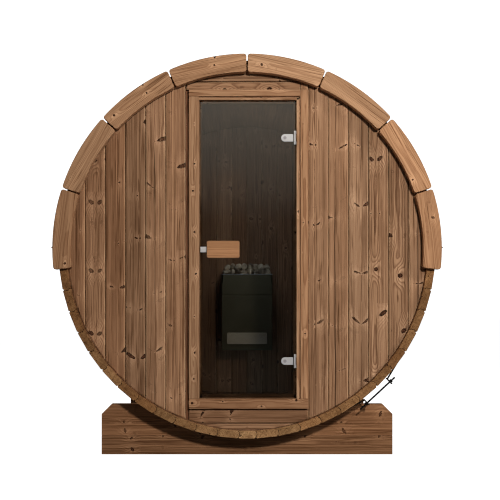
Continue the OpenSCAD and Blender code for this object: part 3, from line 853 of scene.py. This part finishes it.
def make_cradles():
    cut = 0.055  # cut off each upper board's top corners
    steps = 48
    for end in ("front", "rear"):
        low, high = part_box(f"{end}_cradle_base")
        grain = (RIGHT, UP, FRONT if end == "front" else BACK)
        single(f"cradle_{end}_lower", ease(block(low, high), 0.0025), "cradle_wood", CRADLE,
               f"{end}_cradle_base", grain, 0)
        low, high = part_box(f"{end}_cradle_saddle")
        r = BARREL_R + FIT
        half_angle = acos((barrel_z - high.z) / r)
        arc = [spoke(r, half_angle * (1 - 2 * k / steps)) for k in range(steps + 1)]
        outline = [(low.x, low.z), (high.x, low.z), (high.x, high.z - cut), (high.x - cut, high.z),
                   *[tuple(p) for p in arc], (low.x + cut, high.z), (low.x, high.z - cut)]
        bm = ease(prism(outline, low.y, high.y), 0.0025, 2, 30)
        single(f"cradle_{end}_upper", bm, "cradle_wood", CRADLE, f"{end}_cradle_saddle", grain, 0)


# ---- Bands and tensioners ----


def turned(bm, y, angle):
    """Moves a piece drawn under the origin to the barrel's axis at y, turned about it towards +X."""
    c, s = cos(angle), sin(angle)
    for v in bm.verts:
        x, z = v.co.x, v.co.z
        v.co = (x * c - z * s, v.co.y + y, barrel_z + x * s + z * c)
    bmesh.ops.recalc_face_normals(bm, faces=bm.faces)
    return bm


def threaded_rod(x0, x1, z, r=0.005, pitch=0.0015, sides=14):
    """A rod along X with a real thread, its ends turned down."""
    thread_d, end_d, rings_a_turn = 0.0009, 0.0012, 4
    bm = bmesh.new()
    steps = round((x1 - x0) / pitch * rings_a_turn)
    rings = []
    for i in range(steps + 1):
        x = x0 + (x1 - x0) * i / steps
        ring = []
        for k in range(sides):
            phase = ((x - x0) / pitch - k / sides) % 1
            depth = end_d if i in (0, steps) else thread_d * abs(2 * phase - 1)
            a = 2 * pi * k / sides
            ring.append(bm.verts.new((x, (r - depth) * cos(a), z + (r - depth) * sin(a))))
        rings.append(ring)
    for low, high in zip(rings, rings[1:]):
        for k in range(sides):
            j = (k + 1) % sides
            bm.faces.new((low[k], low[j], high[j], high[k]))
    bm.faces.new(rings[0])
    bm.faces.new(rings[-1])
    return bm


def make_bands():
    tension_a = radians(TENSION_A)
    inner, band_t = BARREL_R + FIT, 0.002
    outer = inner + band_t
    rod_z = -(BARREL_R + ROD_OFF)
    lug_x, lug_t, lug_h = 0.083, 0.006, 0.04
    lug_low = rod_z - 0.014
    rod_low, rod_high = 0.051, 0.036  # how far the rod stands out past each lug
    washer_r, washer_t, nut_r, nut_t, nut_off = 0.0105, 0.0018, 0.0098, 0.008, 0.006

    # The band leaves the barrel on a straight tail that ends halfway out to the rod
    end_r = BARREL_R + ROD_OFF / 2
    far = hypot(lug_x, end_r)
    leave = atan2(lug_x, end_r) + acos(outer / far)
    straight = sqrt(far**2 - outer**2)
    tail = (straight * cos(leave), straight * sin(leave))
    steps = 200
    arc = [leave + (2 * pi - 2 * leave) * k / steps for k in range(steps + 1)]

    def path(r):
        points = [(r * sin(a), -r * cos(a)) for a in arc]
        first, last = points[0], points[-1]
        return [(first[0] - tail[0], first[1] - tail[1]), *points, (last[0] + tail[0], last[1] - tail[1])]

    for end in ("front", "rear"):
        low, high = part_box(f"band_{end}")
        y, half = (low.y + high.y) / 2, (high.y - low.y) / 2
        band = Piece()
        band.add(turned(prism(path(outer) + path(inner)[::-1], -half, half), y, tension_a))
        for centre in (-lug_x, lug_x):
            bm = block((centre - lug_t / 2, -half, lug_low), (centre + lug_t / 2, half, lug_low + lug_h))
            band.add(turned(ease(bm, 0.0012), y, tension_a))
        band.build(f"steel_band_{end}", "black_steel", [BLACK_STEEL], [f"band_{end}"])
        rod = Piece()
        rod.add(turned(threaded_rod(-lug_x - rod_low, lug_x + rod_high, rod_z), y, tension_a))
        for s in (-1, 1):
            face = s * (lug_x + lug_t / 2)
            washer = cylinder((face + s * 0.001, 0, rod_z), washer_r, washer_t, "x")
            rod.add(turned(washer, y, tension_a))
            nut = cylinder((face + s * nut_off, 0, rod_z), nut_r, nut_t, "x", 6, 0.0008)
            rod.add(turned(nut, y, tension_a))
        rod.build(f"tension_rod_{end}", "threaded_steel", [ZINC], [f"tensioner_{end}"])


# ---- Roof cover ----


def make_roof():
    """Sheets of membrane along the barrel: the top one lies over those of the sides."""
    low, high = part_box("roof_cover")
    base, thick, lift = BARREL_R + 0.0011, 0.0024, 0.0026
    start = asin((low.z + 0.002 - barrel_z) / (high.z - barrel_z))
    lap, top_half = radians(5), radians(31)
    steps = 48
    piece = Piece()

    def sheet(a0, a1, raised, y_end):
        """A sheet between two angles from +X. raised is its height over the base at a share of its width."""
        rows = []
        for extra in (thick, 0):
            rows.append([])
            for i in range(steps + 1):
                a, r = a0 + (a1 - a0) * i / steps, base + raised(i / steps) + extra
                rows[-1].append((r * cos(a), barrel_z + r * sin(a)))
        piece.add(ease(prism(rows[0] + rows[1][::-1], -y_end, y_end), 0.0007, 1, 60))

    def top_sheet(share):
        """Up on the side sheets at its edges, and down on the base between them."""
        return lift * min(1, max(0, 1.6 - min(share, 1 - share) * 2 * top_half / lap))

    split = pi / 2 - top_half
    sheet(start, split + lap, lambda share: 0.0, END_Y)
    sheet(pi - (split + lap), pi - start, lambda share: 0.0, END_Y)
    sheet(split, split + 2 * top_half, top_sheet, END_Y - 0.001)
    drip_t, drip_h = 0.004, 0.034
    for s in (-1, 1):
        outline = [(s * (BARREL_R + 0.003), low.z), (s * high.x, low.z), (s * high.x, low.z + drip_t),
                   (s * (BARREL_R + 0.0045), low.z + drip_h)]
        piece.add(ease(prism(outline, -END_Y, END_Y), 0.0008, 1, 40))
    piece.build("roof_membrane", "roofing", [ROOFING], ["roof_cover"])


# ---- Heater ----


def boulder(centre, size):
    """A split stone: an icosphere pressed in on seven sides, each nearly flat, then stretched and turned."""
    bm = bmesh.new()
    bmesh.ops.create_icosphere(bm, subdivisions=2, radius=1.0)
    cuts = []
    for _ in range(7):
        normal = Vector([rng.gauss(0, 1) for _ in range(3)]).normalized()
        cuts.append((normal, rng.uniform(0.45, 0.8)))
    scale = Vector([size * rng.uniform(0.75, 1.15) for _ in range(3)])
    spin = rng.uniform(0, pi)
    c, s = cos(spin), sin(spin)
    for v in bm.verts:
        for normal, reach in cuts:
            beyond = v.co.dot(normal) - reach
            if beyond > 0:
                v.co -= normal * beyond * 0.9
        p = Vector([a * b for a, b in zip(v.co, scale)])
        v.co = Vector((p.x * c - p.y * s, p.x * s + p.y * c, p.z)) + Vector(centre)
    return bm


def make_heater():
    """A steel case in two parts with a lined rim for the stones, on two brackets."""
    low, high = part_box("heater_body")
    back = high.y - 0.06  # of the case; its brackets reach on to the wall
    seam, seam_gap, seam_in, core_h = low.z + 0.371, 0.002, 0.004, 0.01
    wall, rim_h, trim_h, lap = 0.012, 0.06, 0.004, 0.005
    body = Piece()
    body.add(ease(block(low, (high.x, back, seam - seam_gap)), 0.006, 3, 60))
    body.add(block((low.x + seam_in, low.y + seam_in, seam - core_h),
                   (high.x - seam_in, back - seam_in, seam + core_h)))
    body.add(ease(block((low.x, low.y, seam + seam_gap), (high.x, back, high.z - rim_h)), 0.006, 3, 60))
    for x0, x1, y0, y1 in (
        (low.x, high.x, low.y, low.y + wall),
        (low.x, high.x, back - wall, back),
        (low.x, low.x + wall, low.y, back),
        (high.x - wall, high.x, low.y, back),
    ):
        body.add(ease(block((x0, y0, high.z - rim_h - lap), (x1, y1, high.z - trim_h)), 0.002))
        body.add(ease(block((x0, y0, high.z - lap), (x1, y1, high.z)), 0.0015), lambda face: 1)
    quarter, bracket = (high.x - low.x) / 4, 0.02
    for x in (-quarter, quarter):
        body.add(ease(block((x - bracket, back - 0.002, low.z + 2 * bracket),
                            (x + bracket, high.y, high.z - 2 * bracket)), 0.002))
    body.build("heater_case", "heater_steel", [ENAMEL, SATIN], ["heater_body"])
    plate = ease(ease(block(*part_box("heater_plate")), 0.008, 4, 60, along_y), 0.002, 2, 60)
    single("heater_front_plate", plate, "heater_grey", GREY, "heater_plate")
    make_heap(high.z)


def make_heap(rim):
    """Three levels of stones, each a little smaller than the one below, from just under the heater's rim."""
    low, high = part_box("heater_stones")
    count_x, count_y, levels, rise = 8, 5, 3, 0.031
    over_x, in_y, taper = 0.006, 0.008, 0.006
    heap = Piece()
    for level in range(levels):
        z = rim - 0.012 + rise * level
        shrink = taper * level
        for i in range(count_x):
            for j in range(count_y):
                size = rng.uniform(0.018, 0.029)
                u, v = (i + 0.5) / count_x, (j + 0.5) / count_y
                x = low.x - over_x + shrink + (high.x - low.x + 2 * over_x - 2 * shrink) * u
                y = low.y + in_y + shrink + (high.y - low.y - 2 * in_y - 2 * shrink) * v
                nudge = (rng.uniform(-0.003, 0.003), rng.uniform(-0.004, 0.004), rng.uniform(-0.006, 0.001))
                place = (x + nudge[0], y + nudge[1], z + nudge[2])
                heap.add(boulder(place, size), tone=rng.uniform(0.2, 0.8))
    heap.build("stone_heap", "stones", [STONE], ["heater_stones"], smooth=22)


# ---- Duckboard ----


def make_duckboard():
    low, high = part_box("duckboard")
    slat_t, slat_count, gap, bearer_w, bearers = 0.02, 4, 0.008, 0.045, 4
    width = (high.x - low.x - (slat_count - 1) * gap) / slat_count
    piece = Piece()
    for i in range(slat_count):
        x = low.x + i * (width + gap)
        bm = ease(block((x, low.y, high.z - slat_t), (x + width, high.y, high.z)), 0.002)
        piece.add(bm, grain=(BACK, RIGHT, UP))
    step = (high.y - low.y - bearer_w) / (bearers - 1)
    for i in range(bearers):
        y = low.y + i * step
        bm = prism(round_outline(low.x, high.x, 0, high.z - slat_t), y, y + bearer_w)
        piece.add(ease(bm, 0.001, 1, 50), grain=LEVEL)
    piece.build("duckboard_slats", "frame_wood", [FRAME], ["duckboard"])


# ---- Stage, light and camera ----


def make_stage():
    """A pale floor; its own glow reaches the camera alone, so that it doesn't light the object from below."""
    mesh = bpy.data.meshes.new("ground")
    half = 40
    corners = [(-half, -half, 0), (half, -half, 0), (half, half, 0), (-half, half, 0)]
    mesh.from_pydata(corners, [], [(0, 1, 2, 3)])
    floor = placed("ground", mesh)
    material, t, shader = shaded("Pale floor")
    seen = t.new("ShaderNodeLightPath").outputs["Is Camera Ray"]
    t.give(shader, Base_Color=(0.2, 0.2, 0.2, 1), Roughness=1.0, Specular_IOR_Level=0.0)
    t.give(shader, Emission_Color=(1, 1, 1, 1), Emission_Strength=seen)
    mesh.materials.append(material)
    floor.visible_glossy = False


def make_world():
    """White to the camera, soft light to surfaces, and a studio that brightens upwards in reflections."""
    scene.world = bpy.data.worlds.new("Studio")
    t = cleared(scene.world)
    path = t.new("ShaderNodeLightPath").outputs
    place = t.new("ShaderNodeTexCoord").outputs["Generated"]
    height = t.fill(t.new("ShaderNodeSeparateXYZ"), [place]).outputs[2]
    # Dark at the horizon, brightest a little over it, and dimmer overhead
    dark, bright, overhead = 0.02, 1.81, 0.35
    ramp = t.step(height, 0.081, 0.211, dark, bright, "LINEAR")
    up = t.times(ramp, t.step(height, 0.25, 0.5, 1.0, overhead))
    mirrored = t.give(t.new("ShaderNodeBackground"), Color=t.tinted(t.grey(up), (1.0, 0.905, 0.76, 1)))
    soft = t.give(t.new("ShaderNodeBackground"), Color=(1.0, 0.98, 0.95, 1), Strength=0.035)
    white = t.give(t.new("ShaderNodeBackground"), Color=(1, 1, 1, 1), Strength=1.2)
    first, second = t.new("ShaderNodeMixShader"), t.new("ShaderNodeMixShader")
    t.fill(first, (path["Is Glossy Ray"], soft.outputs[0], mirrored.outputs[0]))
    t.fill(second, (path["Is Camera Ray"], first.outputs[0], white.outputs[0]))
    t.give(t.new("ShaderNodeOutputWorld"), Surface=second.outputs[0])


def area_light(name, place, target, size, power, colour=(1, 0.97, 0.93), spread=180):
    """A softbox, out of the camera's sight and of mirror reflections."""
    light = bpy.data.lights.new(name, "AREA")
    light.shape = "RECTANGLE"
    light.size, light.size_y = size
    light.spread = radians(spread)
    light.energy, light.color = power, colour
    lamp = placed(name, light)
    lamp.location = place
    lamp.rotation_euler = (Vector(target) - Vector(place)).to_track_quat("-Z", "Y").to_euler()
    lamp.visible_camera = lamp.visible_glossy = False


def make_camera():
    """Level, in front of the door end, with its horizon under the frame's middle."""
    distance, eye_z = 5.22, 0.849
    camera = bpy.data.cameras.new("camera")
    camera.lens, camera.sensor_width = 70.95, 36
    camera.shift_x, camera.shift_y = 0.0059, 0.10
    camera.clip_start, camera.clip_end = 0.1, 200
    eye = placed("camera", camera)
    eye.location = (0, -END_Y - distance, eye_z)
    eye.rotation_euler = (pi / 2, 0, 0)
    scene.camera = eye


make_camera()
make_world()
make_stage()
area_light("key", (1.05, -6.2, 2.35), (0.6, -0.9, 1.9), (0.3, 0.3), 117, spread=136)
area_light("side", (4.3, -3.4, 2.9), (0, -0.9, 1.1), (1.0, 1.0), 66)
area_light("left", (-5.0, 1.4, 3.0), (0, 0, 1.1), (2.0, 2.0), 120)
area_light("back", (1.5, 5.0, 3.6), (0, 0.9, 1.1), (2.0, 2.0), 150)
area_light("cabin", (0.08, -0.07, 1.5), (0.08, 0.85, 1.5), (0.3, 0.3), 2.6, (0.88, 1.08, 1.36))
area_light("low", (0.04, 0.45, 0.3), (0.04, 0.85, 0.3), (0.12, 0.12), 0.21, (0.74, 1.15, 1.65))
scene.view_settings.view_transform = "Standard"
scene.cycles.filter_width = 1.1
make_staves()
make_walls()
make_fascia()
make_door_frame()
make_door()
make_cradles()
make_bands()
make_roof()
make_heater()
make_duckboard()
